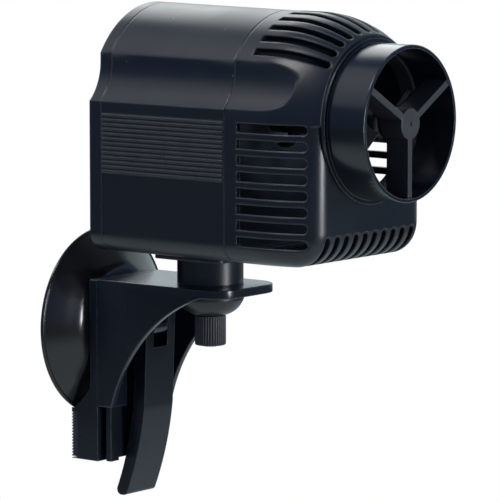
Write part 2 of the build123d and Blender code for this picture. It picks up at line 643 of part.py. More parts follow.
def front_cover():
    cover = cover_form(0)
    for tool in both_sides(recess_tool(0)):
        cover -= tool
    hollow = cover_form(BODY_WALL)
    for tool in both_sides(recess_tool(BODY_WALL)):
        hollow -= tool
    cover -= hollow
    cover -= rod(PLUG_BORE_R, COVER_FRONT - OVERRUN, COVER_FRONT + 2 * BODY_WALL, z=AXIS_Z)
    for tool in side_slots() + top_slots() + front_slots():
        cover -= tool
    return cover


def slot_tool(width, rear, front, reach):
    """A slot cutter lying along Y: square at the rear, round at the front, standing along Z."""
    bar = block((-width / 2, width / 2), (front + width / 2, rear), reach)
    height = reach[1] - reach[0]
    return bar + Pos(0, front + width / 2, (reach[0] + reach[1]) / 2) * Cylinder(width / 2, height)


def side_slots():
    tool = slot_tool(SIDE_SLOT_H, SLOT_REAR, SIDE_SLOT_FRONT,
                     (SIDE_SLOT_FLOOR_X, BODY_HALF_W + OVERRUN))
    sides = []
    for k in range(SIDE_SLOTS):
        z = SIDE_SLOT_TOP - k * SIDE_SLOT_PITCH
        sides += both_sides(Pos(0, 0, z) * Rot(0, 90, 0) * tool)
    return sides


def top_slots():
    tool = slot_tool(TOP_SLOT_W, TOP_SLOT_REAR, TOP_SLOT_FRONT,
                     (TOP_SLOT_FLOOR_R, ARCH_H_SEAM + OVERRUN))
    middle = (TOP_SLOTS - 1) / 2
    return [Pos(0, 0, AXIS_Z) * Rot(0, (k - middle) * TOP_SLOT_STEP, 0) * tool for k in range(TOP_SLOTS)]


def front_slots():
    round_r = FRONT_SLOT_W / 2
    bar = block((-round_r, round_r), (COVER_FRONT - OVERRUN, FRONT_SLOT_BACK),
                (BODY_BOTTOM - OVERRUN, FRONT_SLOT_TOP - round_r))
    bar += rod(round_r, COVER_FRONT - OVERRUN, FRONT_SLOT_BACK, z=FRONT_SLOT_TOP - round_r)
    middle = (FRONT_SLOTS - 1) / 2
    return [Pos((k - middle) * FRONT_SLOT_PITCH, 0, 0) * bar for k in range(FRONT_SLOTS)]


# ---------------------------------------------------------------- outlet nozzle
def outlet_nozzle():
    plug_end = COVER_FRONT + NOZZLE_PLUG_L
    plug_r = PLUG_BORE_R - SLIDE_GAP / 2
    bore_end = COVER_FRONT - NOZZLE_FLANGE_T
    tube = rod(NOZZLE_R, NOZZLE_FRONT, COVER_FRONT, z=AXIS_Z)
    tube = fillet(tube.edges().group_by(Axis.Y)[0], NOZZLE_RIM_R)
    tube += rod(NOZZLE_FLANGE_R, COVER_FRONT - NOZZLE_FLANGE_T, COVER_FRONT, z=AXIS_Z)
    tube += rod(plug_r, COVER_FRONT, plug_end, z=AXIS_Z)
    tube -= rod(plug_r - NOZZLE_WALL, bore_end, plug_end + OVERRUN, z=AXIS_Z)
    tube -= rod(NOZZLE_BORE_R, NOZZLE_FRONT - OVERRUN, bore_end, z=AXIS_Z)
    reach = (-NOZZLE_R + NOZZLE_WALL / 2, 0)
    for k in range(GUARD_SPOKES):
        spoke = block((-GUARD_SPOKE_T / 2, GUARD_SPOKE_T / 2),
                      (NOZZLE_FRONT + GUARD_INSET, GUARD_REAR), reach)
        tube += Pos(0, 0, AXIS_Z) * Rot(0, 360 / GUARD_SPOKES * k, 0) * spoke
    hub = rod(GUARD_HUB_R, NOZZLE_FRONT, GUARD_REAR, z=AXIS_Z)
    tube += fillet(hub.edges().group_by(Axis.Y)[0], NOZZLE_RIM_R)
    tube -= rod(GUARD_DIMPLE_R, NOZZLE_FRONT - OVERRUN, NOZZLE_FRONT + GUARD_DIMPLE_DEPTH, z=AXIS_Z)
    tube -= rod(FRONT_BUSH_R, BUSH_FRONT, GUARD_REAR + OVERRUN, z=AXIS_Z)
    return tube


# ---------------------------------------------------------------- rotor
def rotor_shaft():
    shaft = rod(SHAFT_R, SHAFT_FRONT, SHAFT_REAR, z=AXIS_Z)
    return chamfer(shaft.edges(), SHAFT_CHAMFER)


def rear_bush():
    bush = rod(BUSH_R, WELL_REAR - BUSH_L, WELL_REAR, z=AXIS_Z)
    return bush - rod(SHAFT_R, WELL_REAR - BUSH_L - OVERRUN, SHAFT_REAR, z=AXIS_Z)


def front_bush():
    bush = rod(FRONT_BUSH_R, BUSH_FRONT, GUARD_REAR, z=AXIS_Z)
    return bush - rod(SHAFT_R, SHAFT_FRONT, GUARD_REAR + OVERRUN, z=AXIS_Z)


def turning_bore(y_from, y_to):
    return rod(SHAFT_R + RUNNING_GAP, y_from - OVERRUN, y_to + OVERRUN, z=AXIS_Z)


def thrust_washer():
    washer = rod(BUSH_R, MAGNET_REAR, MAGNET_REAR + THRUST_T, z=AXIS_Z)
    return washer - turning_bore(MAGNET_REAR, MAGNET_REAR)


def magnet_rotor():
    magnet = rod(MAGNET_R, MAGNET_FRONT, MAGNET_REAR, z=AXIS_Z)
    magnet = chamfer(magnet.edges(), MAGNET_CHAMFER)
    return magnet - turning_bore(MAGNET_FRONT, MAGNET_REAR)


def impeller():
    hub = rod(HUB_R, HUB_FRONT, HUB_REAR, z=AXIS_Z)
    hub = fillet(hub.edges().group_by(Axis.Y)[0], HUB_NOSE_R)
    hub += rod(NECK_R, HUB_REAR, MAGNET_FRONT, z=AXIS_Z)
    root_r = HUB_R - BLADE_ROOT_DEPTH
    for k in range(BLADE_COUNT):
        blade = Box(BLADE_TIP_R - root_r, BLADE_CHORD, BLADE_T)
        outer = blade.edges().filter_by(Axis.Z).group_by(Axis.X)[-1]
        blade = fillet(outer, BLADE_CORNER_R)
        turn = -BLADE_TURN - 360 / BLADE_COUNT * k
        hub += (Pos(0, BLADE_FRONT, AXIS_Z) * Rot(0, turn, 0) * Rot(-BLADE_PITCH, 0, 0)
                * Pos((BLADE_TIP_R + root_r) / 2, BLADE_CHORD / 2, 0) * blade)
    return hub - turning_bore(HUB_FRONT, MAGNET_FRONT)


# ---------------------------------------------------------------- motor windings
def core_y():
    return CORE_MID_Y - CORE_T / 2, CORE_MID_Y + CORE_T / 2


def stator_core():
    foot_z = BODY_BOTTOM + BODY_WALL + LOOSE_GAP
    core = block((-CORE_LEG_OUT, CORE_LEG_OUT), core_y(), (foot_z, foot_z + CORE_YOKE_T))
    leg = block((CORE_LEG_IN, CORE_LEG_OUT), core_y(), (foot_z, CORE_TOP_Z))
    pole = block((CORE_POLE_GAP / 2, CORE_LEG_IN), core_y(), (2 * AXIS_Z - CORE_TOP_Z, CORE_TOP_Z))
    for piece in both_sides(leg + pole):
        core += piece
    return core - rod(WELL_R + WELL_WALL + CORE_BORE_GAP, *core_y(), z=AXIS_Z)


def coil_z():
    low = BODY_BOTTOM + BODY_WALL + LOOSE_GAP + CORE_YOKE_T + COIL_END_GAP
    return low, low + COIL_H


def around_leg(build_in, build_out, z):
    """A tube of square section around the right leg of the core."""
    rear_to_front = core_y()
    tubes = []
    for build in (build_out, build_in):
        x = (CORE_LEG_IN - build, CORE_LEG_OUT + build)
        y = (rear_to_front[0] - build, rear_to_front[1] + build)
        tubes.append(block(x, y, z))
    return tubes[0] - tubes[1]


def bobbin():
    low, high = coil_z()
    spool = around_leg(0, BOBBIN_WALL, (low, high))
    spool += around_leg(0, COIL_BUILD, (low, low + BOBBIN_WALL))
    return spool + around_leg(0, COIL_BUILD, (high - BOBBIN_WALL, high))


def winding():
    low, high = coil_z()
    outside = COIL_BUILD - BOBBIN_WALL / 2
    coil = around_leg(BOBBIN_WALL, outside, (low + BOBBIN_WALL, high - BOBBIN_WALL))
    middle_x = (CORE_LEG_IN + CORE_LEG_OUT) / 2
    corners = coil.edges().filter_by(Axis.Z).group_by(lambda e: round(abs(e.center().X - middle_x), 3))
    return fillet(corners[-1], COIL_CORNER_R)


def potting_block():
    rear = REAR_LINE_Y - POTTING_REAR_GAP
    return casing(BODY_WALL + LOOSE_GAP / 3, rear - POTTING_T, rear)


PIECES = {
    "suction_cup": suction_cup,
    "toothed_rail": toothed_rail,
    "cup_stem": cup_stem,
    "pivot_pin": pivot_pin,
    "lever": lever,
    "support_bracket": support_bracket,
    "swivel_foot": swivel_foot,
    "clamp_stud": clamp_stud,
    "bowl_washer": bowl_washer,
    "knurled_nut": knurled_nut,
    "motor_housing": motor_housing,
    "rear_cover": rear_cover,
    "cable_gland": cable_gland,
    "front_cover": front_cover,
    "outlet_nozzle": outlet_nozzle,
    "rotor_shaft": rotor_shaft,
    "rear_bush": rear_bush,
    "front_bush": front_bush,
    "thrust_washer": thrust_washer,
    "magnet_rotor": magnet_rotor,
    "impeller": impeller,
    "stator_core": stator_core,
    "bobbin_right": bobbin,
    "bobbin_left": lambda: mirror(bobbin(), Plane.YZ),
    "winding_right": winding,
    "winding_left": lambda: mirror(winding(), Plane.YZ),
    "potting_block": potting_block,
}

for node, make in PIECES.items():
    export_step(make(), f"parts/{node}.step")
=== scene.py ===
# %% [markdown]
# # The looks of a wave maker pump
#
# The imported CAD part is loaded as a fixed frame, and this script dresses it: edges, materials,
# small moulded details, lights and a camera. Lengths are in metres, in the frame of the CAD part:
# the origin is the middle of the suction cup's rim, +Y points into the glass, and +Z is up. Sizes
# that are easier to read in millimetres are multiplied by MM.

# %% Load the frame
import math

import bmesh
import bpy
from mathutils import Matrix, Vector


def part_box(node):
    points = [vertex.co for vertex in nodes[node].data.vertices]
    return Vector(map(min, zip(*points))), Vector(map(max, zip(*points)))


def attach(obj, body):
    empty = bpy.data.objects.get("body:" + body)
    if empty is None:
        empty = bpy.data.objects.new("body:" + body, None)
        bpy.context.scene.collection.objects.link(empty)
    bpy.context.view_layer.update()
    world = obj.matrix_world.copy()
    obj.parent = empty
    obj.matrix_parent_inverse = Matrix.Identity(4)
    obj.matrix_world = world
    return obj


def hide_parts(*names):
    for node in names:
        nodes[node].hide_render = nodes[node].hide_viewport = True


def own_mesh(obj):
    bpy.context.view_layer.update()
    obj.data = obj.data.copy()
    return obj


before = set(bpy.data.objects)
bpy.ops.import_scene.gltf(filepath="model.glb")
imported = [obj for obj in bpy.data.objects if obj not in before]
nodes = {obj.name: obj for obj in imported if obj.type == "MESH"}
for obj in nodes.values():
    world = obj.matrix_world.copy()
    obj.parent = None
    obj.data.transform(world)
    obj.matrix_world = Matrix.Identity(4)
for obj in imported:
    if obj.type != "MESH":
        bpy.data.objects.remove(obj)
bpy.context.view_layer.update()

MM = 0.001
scene = bpy.context.scene
scene.view_settings.view_transform = "Standard"

# %% [markdown]
# ## Camera
#
# The camera is far away with a long lens, so the pump's edges stay nearly parallel. It looks at the
# pump from the left of its nozzle and a little above it.

# %% Place the camera
CAMERA_AZIMUTH = math.radians(-51.79)
CAMERA_ELEVATION = math.radians(7.02)
CAMERA_TARGET = Vector((0, -0.06988, 0.03147))
CAMERA_DISTANCE = 1.3277
CAMERA_LENS = 264.96          # millimetres
SENSOR_WIDTH = 36             # millimetres

towards_camera = Vector((
    math.sin(CAMERA_AZIMUTH) * math.cos(CAMERA_ELEVATION),
    -math.cos(CAMERA_AZIMUTH) * math.cos(CAMERA_ELEVATION),
    math.sin(CAMERA_ELEVATION),
))
camera = bpy.data.objects.new("camera", bpy.data.cameras.new("camera"))
camera.data.lens = CAMERA_LENS
camera.data.sensor_width = SENSOR_WIDTH
camera.location = CAMERA_TARGET + CAMERA_DISTANCE * towards_camera
camera.rotation_euler = towards_camera.to_track_quat("Z", "Y").to_euler()
scene.collection.objects.link(camera)
scene.camera = camera
print("camera at", [round(v, 3) for v in camera.location])


# %% [markdown]
# ## Helpers for materials
#
# Every material is a tree of nodes that are joined by links. These helpers make a node, or a node
# with its links, in one line each, so that the recipes below stay short enough to read.

# %% Helpers: nodes and links
def add(tree, kind, **values):
    """Add a node, set its properties, and set the inputs whose names start with a capital letter."""
    node = tree.nodes.new(kind)
    for name, value in values.items():
        if name[0].isupper():
            node.inputs[name.replace("_", " ")].default_value = value
        else:
            setattr(node, name, value)
    return node


def feed(tree, value, socket):
    """Link a socket to another one, or set it to a constant."""
    if isinstance(value, bpy.types.NodeSocket):
        tree.links.new(value, socket)
    else:
        socket.default_value = value


def math_node(tree, operation, first, second):
    """A Math node whose two inputs are sockets or plain numbers."""
    node = add(tree, "ShaderNodeMath", operation=operation)
    feed(tree, first, node.inputs[0])
    feed(tree, second, node.inputs[1])
    return node.outputs[0]


def spread(tree, value, low, high, to_low, to_high):
    """Map a value from one range to another, held inside the second."""
    node = add(tree, "ShaderNodeMapRange", From_Min=low, From_Max=high, To_Min=to_low, To_Max=to_high)
    feed(tree, value, node.inputs["Value"])
    return node.outputs["Result"]


def mix(tree, factor, first, second, kind="RGBA"):
    """Mix two colours, or two numbers if kind is FLOAT. Each is a socket or a constant."""
    node = add(tree, "ShaderNodeMix", data_type=kind)
    sockets = [socket for socket in node.inputs if socket.enabled]
    for value, socket in zip((factor, first, second), sockets):
        feed(tree, (*value, 1) if isinstance(value, tuple) else value, socket)
    return next(socket for socket in node.outputs if socket.enabled)


def mix_shaders(tree, factor, first, second):
    """A Mix Shader node: the first shader where the factor is 0, and the second where it is 1."""
    node = add(tree, "ShaderNodeMixShader")
    for value, socket in zip((factor, first, second), node.inputs):
        feed(tree, value, socket)
    return node.outputs[0]


# %% Helpers: groups, places and noises
def new_group(name, inputs, outputs):
    """An empty node group with number inputs and outputs."""
    group = bpy.data.node_groups.new(name, "ShaderNodeTree")
    for label, default in inputs:
        socket = group.interface.new_socket(label, in_out="INPUT", socket_type="NodeSocketFloat")
        socket.default_value = default
    for label in outputs:
        group.interface.new_socket(label, in_out="OUTPUT", socket_type="NodeSocketFloat")
    return group, group.nodes.new("NodeGroupInput"), group.nodes.new("NodeGroupOutput")


def use_group(tree, group, **values):
    """Put a node group into a material and set its number inputs."""
    node = add(tree, "ShaderNodeGroup", node_tree=group)
    for name, value in values.items():
        node.inputs[name].default_value = value
    return node


def object_place(tree):
    """The point on the piece, in the piece's own frame, so that a pattern moves with it."""
    return add(tree, "ShaderNodeTexCoord").outputs["Object"]


def noise(tree, place, scale, detail, roughness=0.5):
    """A noise texture from 0 to 1. Its scale is a number or a socket."""
    node = add(tree, "ShaderNodeTexNoise", Detail=detail, Roughness=roughness)
    feed(tree, place, node.inputs["Vector"])
    feed(tree, scale, node.inputs["Scale"])
    return node.outputs["Fac"]


NOISE_SPAN = (0.3, 0.7)       # nearly all of a noise texture lies between these


# %% [markdown]
# ## Shared effects
#
# Moulded plastic isn't an even mirror. It has a fine skin from the tool, a slow waviness where the
# wall shrank as it cooled, and dull patches from handling. The first group gives these as a height for
# bump and as a spread for roughness.

# %% Group: moulded skin
GRAIN_SHARE = 0.06            # height of the fine grain beside that of the slow waves
skin, skin_in, skin_out = new_group(
    "moulded skin", [("Grain Scale", 2600.0), ("Wave Scale", 55.0), ("Patch Scale", 34.0)],
    ["Height", "Patches"])
place = object_place(skin)
grain = noise(skin, place, skin_in.outputs["Grain Scale"], 2.0)
waves = noise(skin, place, skin_in.outputs["Wave Scale"], 1.0)
patches = noise(skin, place, skin_in.outputs["Patch Scale"], 4.0)
height = math_node(skin, "ADD", math_node(skin, "MULTIPLY", grain, GRAIN_SHARE), waves)
feed(skin, height, skin_out.inputs["Height"])
feed(skin, patches, skin_out.inputs["Patches"])
print(f"{skin.name}: {len(skin.nodes)} nodes")

# %% [markdown]
# Fine scratches run in several directions. Each set is a noise that is stretched along one direction
# until it turns into thin lines, of which only the peaks are kept.

# %% Group: hairline scratches
SCRATCH_TURNS = (12, 67, 131)         # degrees
SCRATCH_STRETCH = (60, 2400, 900)     # a small number makes long lines
SCRATCH_PEAKS = (0.70, 0.78)          # the part of the noise that turns into scratches
SCRATCH_ROUGHNESS = 0.55
scratches, scratches_in, scratches_out = new_group("hairline scratches", [("Amount", 1.0)], ["Mask"])
place = object_place(scratches)
lines = None
for turn in SCRATCH_TURNS:
    mapping = add(scratches, "ShaderNodeMapping", Scale=SCRATCH_STRETCH,
                  Rotation=(math.radians(turn), math.radians(turn / 2), math.radians(turn)))
    feed(scratches, place, mapping.inputs["Vector"])
    stretched = noise(scratches, mapping.outputs["Vector"], 1.0, 1.0, SCRATCH_ROUGHNESS)
    line = spread(scratches, stretched, *SCRATCH_PEAKS, 0.0, 1.0)
    lines = line if lines is None else math_node(scratches, "MAXIMUM", lines, line)
feed(scratches, math_node(scratches, "MULTIPLY", lines, scratches_in.outputs["Amount"]),
     scratches_out.inputs["Mask"])
print(f"{scratches.name}: {len(SCRATCH_TURNS)} directions")

# %% [markdown]
# Edges turn lighter and duller: partly real wear where hands and glass touch them, and partly a painted
# sheen, the line of light along an edge painted into its colour. Where the rounded normal departs from the
# true one there is an edge, and a noise breaks the wear and the painted sheen up.

# %% Group: edge wear and painted sheen
EDGE_ALIKE = (0.99, 0.86)     # dot product of the two normals, from no wear and sheen to full wear and sheen
BREAK_SCALE = 260.0
BREAK_SPAN = (0.30, 0.55)
LEAST_WEAR_AND_SHEEN = 0.3              # share of the wear and painted sheen that stays where the noise is low
wear, wear_and_sheen_in, wear_and_sheen_out = new_group("edge wear and sheen", [("Radius", 0.6 * MM)], ["Mask"])
bevelled = add(wear, "ShaderNodeBevel", samples=4)
feed(wear, wear_and_sheen_in.outputs["Radius"], bevelled.inputs["Radius"])
alike = add(wear, "ShaderNodeVectorMath", operation="DOT_PRODUCT")
feed(wear, bevelled.outputs["Normal"], alike.inputs[0])
feed(wear, add(wear, "ShaderNodeNewGeometry").outputs["Normal"], alike.inputs[1])
edge = spread(wear, alike.outputs["Value"], *EDGE_ALIKE, 0.0, 1.0)
broken = spread(wear, noise(wear, object_place(wear), BREAK_SCALE, 4.0, 0.7), *BREAK_SPAN, LEAST_WEAR_AND_SHEEN, 1.0)
feed(wear, math_node(wear, "MULTIPLY", edge, broken), wear_and_sheen_out.inputs["Mask"])
print(f"{wear.name}: {len(wear.nodes)} nodes")

# %% [markdown]
# A black thing shows every speck that settles on it. Each cell of a Voronoi texture holds one dot, and
# the cell's own random colour decides whether the dot is there, so the specks lie far apart.

# %% Group: dust
DOT_EDGE = (0.04, 0.08)       # from the dot's middle, as a share of the cell
DUSTY_CELLS = (0.90, 0.92)    # cells whose random red lies above these have a dot
dust, dust_in, dust_out = new_group("dust", [("Amount", 1.0), ("Scale", 300.0)], ["Mask"])
cells = add(dust, "ShaderNodeTexVoronoi")
feed(dust, object_place(dust), cells.inputs["Vector"])
feed(dust, dust_in.outputs["Scale"], cells.inputs["Scale"])
dot = spread(dust, cells.outputs["Distance"], *DOT_EDGE, 1.0, 0.0)
lot = add(dust, "ShaderNodeSeparateColor")
feed(dust, cells.outputs["Color"], lot.inputs["Color"])
present = spread(dust, lot.outputs["Red"], *DUSTY_CELLS, 0.0, 1.0)
speck = math_node(dust, "MULTIPLY", dot, present)
feed(dust, math_node(dust, "MULTIPLY", speck, dust_in.outputs["Amount"]), dust_out.inputs["Mask"])
print("node groups:", [group.name for group in bpy.data.node_groups])


# %% [markdown]
# ## Plastics and rubber
#
# One function makes every moulded black material. The pieces differ in how glossy they came out of
# the tool, how strong the skin is, and in a slight tint. A Bevel node rounds the normal near each
# edge, which gives a seam or a slot the thin line of light that a real moulded edge has.

# %% Helper: a moulded material
DUST = (0.34, 0.35, 0.36)
DUST_SHARE = 0.6
SCRATCH_SHARE = 0.35
SCUFF_ROUGHNESS = 0.12        # what a scratch or a worn edge adds to the roughness
SKIN_DEPTH = 0.4 * MM


def new_material(name):
    """A material that is made of nodes, and its tree."""
    material = bpy.data.materials.new(name)
    material.use_nodes = True
    return material, material.node_tree


def moulded(name, colour, worn_and_sheen_colour, gloss, rough_range=0.10, bump=0.05, wear_and_sheen_share=0.5,
            edge_radius=0.45, ior=1.52):
    """A moulded black material: gloss is the roughness at its shiniest, edge_radius is in mm."""
    material, tree = new_material(name)
    shader = tree.nodes["Principled BSDF"]
    shader.inputs["IOR"].default_value = ior
    skin_node = use_group(tree, skin)
    scratched = use_group(tree, scratches, Amount=SCRATCH_SHARE).outputs["Mask"]
    dusty = use_group(tree, dust, Amount=DUST_SHARE).outputs["Mask"]
    worn_and_sheen = math_node(tree, "MULTIPLY", use_group(tree, wear).outputs["Mask"], wear_and_sheen_share)

    # edges get a lighter colour: partly real wear, partly a painted sheen for the line of light along them
    tint = mix(tree, worn_and_sheen, colour, worn_and_sheen_colour)
    feed(tree, mix(tree, dusty, tint, DUST), shader.inputs["Base Color"])

    rough = spread(tree, skin_node.outputs["Patches"], *NOISE_SPAN, gloss, gloss + rough_range)
    for mask in (scratched, worn_and_sheen):
        rough = math_node(tree, "ADD", rough, math_node(tree, "MULTIPLY", mask, SCUFF_ROUGHNESS))
    feed(tree, rough, shader.inputs["Roughness"])

    bumped = add(tree, "ShaderNodeBump", Strength=bump, Distance=SKIN_DEPTH)
    feed(tree, skin_node.outputs["Height"], bumped.inputs["Height"])
    rounded = add(tree, "ShaderNodeBevel", samples=6, Radius=edge_radius * MM)
    feed(tree, rounded.outputs["Normal"], bumped.inputs["Normal"])
    feed(tree, bumped.outputs["Normal"], shader.inputs["Normal"])
    return material


# %% Make the plastics and rubbers
BLACK = (0.006, 0.009, 0.015)
# the lighter edge colour is partly real wear and partly a painted sheen standing in for edge highlights
WORN_AND_SHEEN_BLACK = (0.13, 0.135, 0.145)
casing_plastic = moulded("casing_plastic", BLACK, WORN_AND_SHEEN_BLACK, gloss=0.28, edge_radius=1.2)
nozzle_plastic = moulded("nozzle_plastic", BLACK, WORN_AND_SHEEN_BLACK, gloss=0.16)
bracket_plastic = moulded("bracket_plastic", BLACK, WORN_AND_SHEEN_BLACK, gloss=0.20, bump=0.03)
rail_plastic = moulded("rail_plastic", BLACK, WORN_AND_SHEEN_BLACK, gloss=0.20)
lever_plastic = moulded("lever_plastic", BLACK, WORN_AND_SHEEN_BLACK, gloss=0.21, ior=1.40)
clamp_plastic = moulded("clamp_plastic", (0.014, 0.014, 0.016), WORN_AND_SHEEN_BLACK, gloss=0.30)
rotor_plastic = moulded("rotor_plastic", (0.016, 0.017, 0.020), WORN_AND_SHEEN_BLACK, gloss=0.32)
cup_rubber = moulded("cup_rubber", (0.009, 0.009, 0.010), (0.03, 0.03, 0.032), gloss=0.14,
                     rough_range=0.07, bump=0.03, wear_and_sheen_share=0.3)
gland_rubber = moulded("gland_rubber", (0.012, 0.012, 0.012), (0.03, 0.03, 0.03), gloss=0.55, bump=0.08)
print("moulded materials:", [material.name for material in bpy.data.materials])

# %% [markdown]
# The guard inside the nozzle has a paler grey and a higher roughness than the tube round it, so its hub
# and spokes look duller and lighter. They are one piece with it, so a mask tells them apart: it is 1
# within a radius of the nozzle's axis that is a little less than the radius of the bore.

# %% Dull the guard
GUARD_RADIUS = 25.6 * MM
GUARD_GREY = (0.040, 0.041, 0.043)
GUARD_ROUGHNESS = 0.44
nozzle_low, nozzle_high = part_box("outlet_nozzle")
AXIS_X, AXIS_Z = ((nozzle_low[k] + nozzle_high[k]) / 2 for k in (0, 2))

near_axis, near_axis_in, near_axis_out = new_group("near nozzle axis", [("Radius", 1.0)], ["Mask"])
flat = add(near_axis, "ShaderNodeVectorMath", operation="MULTIPLY")
feed(near_axis, object_place(near_axis), flat.inputs[0])
feed(near_axis, (1, 0, 1), flat.inputs[1])
reach = add(near_axis, "ShaderNodeVectorMath", operation="DISTANCE")
feed(near_axis, flat.outputs["Vector"], reach.inputs[0])
feed(near_axis, (AXIS_X, 0, AXIS_Z), reach.inputs[1])
inside = math_node(near_axis, "LESS_THAN", reach.outputs["Value"], near_axis_in.outputs["Radius"])
feed(near_axis, inside, near_axis_out.inputs["Mask"])

tree = nozzle_plastic.node_tree
shader = tree.nodes["Principled BSDF"]
guard_mask = use_group(tree, near_axis, Radius=GUARD_RADIUS).outputs["Mask"]
for label, value, kind in (("Base Color", GUARD_GREY, "RGBA"), ("Roughness", GUARD_ROUGHNESS, "FLOAT")):
    of_tube = shader.inputs[label].links[0].from_socket
    feed(tree, mix(tree, guard_mask, of_tube, value, kind), shader.inputs[label])
print("guard is dull within", round(GUARD_RADIUS / MM, 1), "mm of the nozzle's axis")


# %% [markdown]
# ## Metal, ceramic and the sealed inner pieces
#
# The stud, pin and laminations are metal, the shaft and its washer are pale ceramic, and the coils
# are enamelled copper. Only the rotor, the shaft and the stud can be seen, but all have a finish.

# %% Helper: a plain material
DARKEST = 0.8                 # tone where the noise is lowest, as a share of the colour
PLAIN_DEPTH = 0.2 * MM


def plain(name, colour, metallic, rough_low, rough_high, scale, stretch=(1, 1, 1), bump=0.05):
    """A material with a stretched noise in its tone, roughness and bump."""
    material, tree = new_material(name)
    shader = tree.nodes["Principled BSDF"]
    shader.inputs["Metallic"].default_value = metallic
    mapping = add(tree, "ShaderNodeMapping", Scale=stretch)
    feed(tree, object_place(tree), mapping.inputs["Vector"])
    grain = noise(tree, mapping.outputs["Vector"], scale, 4.0, 0.55)
    darker = tuple(value * DARKEST for value in colour)
    feed(tree, mix(tree, grain, darker, colour), shader.inputs["Base Color"])
    feed(tree, spread(tree, grain, *NOISE_SPAN, rough_low, rough_high), shader.inputs["Roughness"])
    bumped = add(tree, "ShaderNodeBump", Strength=bump, Distance=PLAIN_DEPTH)
    feed(tree, grain, bumped.inputs["Height"])
    feed(tree, bumped.outputs["Normal"], shader.inputs["Normal"])
    return material


# %% Make the other materials
steel = plain("turned_steel", (0.56, 0.56, 0.57), 1.0, 0.22, 0.40, 900.0, (1, 1, 12))
laminations = plain("laminations", (0.35, 0.35, 0.36), 1.0, 0.35, 0.6, 1500.0, (1, 20, 1))
ceramic = plain("ceramic", (0.80, 0.80, 0.77), 0.0, 0.10, 0.22, 1400.0, bump=0.02)
ferrite = plain("ferrite", (0.05, 0.05, 0.055), 0.2, 0.42, 0.62, 2200.0)
copper = plain("enamelled_copper", (0.55, 0.24, 0.11), 1.0, 0.20, 0.38, 1800.0, (1, 1, 18), bump=0.25)
bobbin_plastic = plain("bobbin_plastic", (0.72, 0.70, 0.64), 0.0, 0.40, 0.55, 1200.0)
resin = plain("cast_resin", (0.018, 0.018, 0.02), 0.0, 0.18, 0.30, 500.0)
print(len(bpy.data.materials), "materials so far")

# %% Give each piece its material
FINISHES = {
    "suction_cup": cup_rubber, "toothed_rail": rail_plastic, "cup_stem": rail_plastic,
    "pivot_pin": steel, "lever": lever_plastic, "support_bracket": bracket_plastic,
    "swivel_foot": casing_plastic, "clamp_stud": steel, "bowl_washer": clamp_plastic,
    "knurled_nut": clamp_plastic, "motor_housing": casing_plastic, "rear_cover": casing_plastic,
    "cable_gland": gland_rubber, "front_cover": casing_plastic, "outlet_nozzle": nozzle_plastic,
    "rotor_shaft": ceramic, "rear_bush": gland_rubber, "front_bush": gland_rubber,
    "thrust_washer": ceramic, "magnet_rotor": ferrite, "impeller": rotor_plastic,
    "stator_core": laminations, "bobbin_right": bobbin_plastic, "bobbin_left": bobbin_plastic,
    "winding_right": copper, "winding_left": copper, "potting_block": resin,
}
for name, material in FINISHES.items():
    mesh = nodes[name].data
    mesh.materials.clear()
    mesh.materials.append(material)
print(f"{len(FINISHES)} pieces have a finish")

# %% [markdown]
# ## Rounded edges
#
# No moulded edge is perfectly sharp. A bevel takes each sharp corner down by a fraction of a
# millimetre, which is what catches the light along it, and weighted normals keep the flats flat. A
# weld comes first, because the mesh of a CAD solid doesn't share points between its faces.

# %% Round the edges
EDGE_WIDTHS = {               # millimetres
    "toothed_rail": 0.22, "lever": 0.35, "support_bracket": 0.30, "swivel_foot": 0.35,
    "bowl_washer": 0.20, "knurled_nut": 0.10, "motor_housing": 0.30, "rear_cover": 0.40,
    "front_cover": 0.45, "outlet_nozzle": 0.20, "impeller": 0.25,
}
WELD_DISTANCE = 0.002 * MM
ROUNDED_ABOVE = math.radians(35)      # a corner that turns less than this isn't rounded
FLAT_WEIGHT = 80
for name, width in EDGE_WIDTHS.items():
    piece = nodes[name]
    weld = piece.modifiers.new("weld", "WELD")
    weld.merge_threshold = WELD_DISTANCE
    rounding = piece.modifiers.new("rounding", "BEVEL")
    rounding.width = width * MM
    rounding.segments = 2
    rounding.limit_method = "ANGLE"
    rounding.angle_limit = ROUNDED_ABOVE
    shading = piece.modifiers.new("shading", "WEIGHTED_NORMAL")
    shading.mode = "FACE_AREA_WITH_ANGLE"
    shading.weight = FLAT_WEIGHT
print(f"{len(EDGE_WIDTHS)} pieces have rounded edges")


# %% [markdown]
# ## Turned rubber pieces
#
# The suction cup and the cable's grommet are soft rubber, so they aren't left as plain CAD solids. Both
# are round, so each is a profile that is turned about an axis along Y. The profile's corners are run
# through a smooth curve first, which gives the dome its swell and the lips their soft edges.

# %% Helpers: profiles
def corners(*points):
    """Each point twice, which keeps it a corner when the profile is eased."""
    return [point for point in points for _ in range(2)]


def eased(points, steps=4):
    """A Catmull-Rom curve through a closed loop of points. A point given twice stays a corner."""
    loop = []
    count = len(points)
    for i in range(count):
        before, start, end, after = (Vector(points[(i + k) % count]) for k in (-1, 0, 1, 2))
        if start == end:
            continue
        for step in range(steps):
            t = step / steps
            loop.append(0.5 * (2 * start + (end - before) * t
                               + (2 * before - 5 * start + 4 * end - after) * t * t
                               + (3 * start - before - 3 * end + after) * t ** 3))
    return loop


# %% Helpers: turning
TURN_STEPS = 160
SMOOTH_BELOW = math.radians(40)
SAME_POINT = 1e-8


def merge_axis(mesh):
    """Points of a profile on the axis repeat at every step, so they become one."""
    work = bmesh.new()
    work.from_mesh(mesh)
    bmesh.ops.remove_doubles(work, verts=work.verts, dist=SAME_POINT)
    bmesh.ops.delete(work, geom=[edge for edge in work.edges if not edge.link_faces], context="EDGES")
    work.to_mesh(mesh)
    work.free()


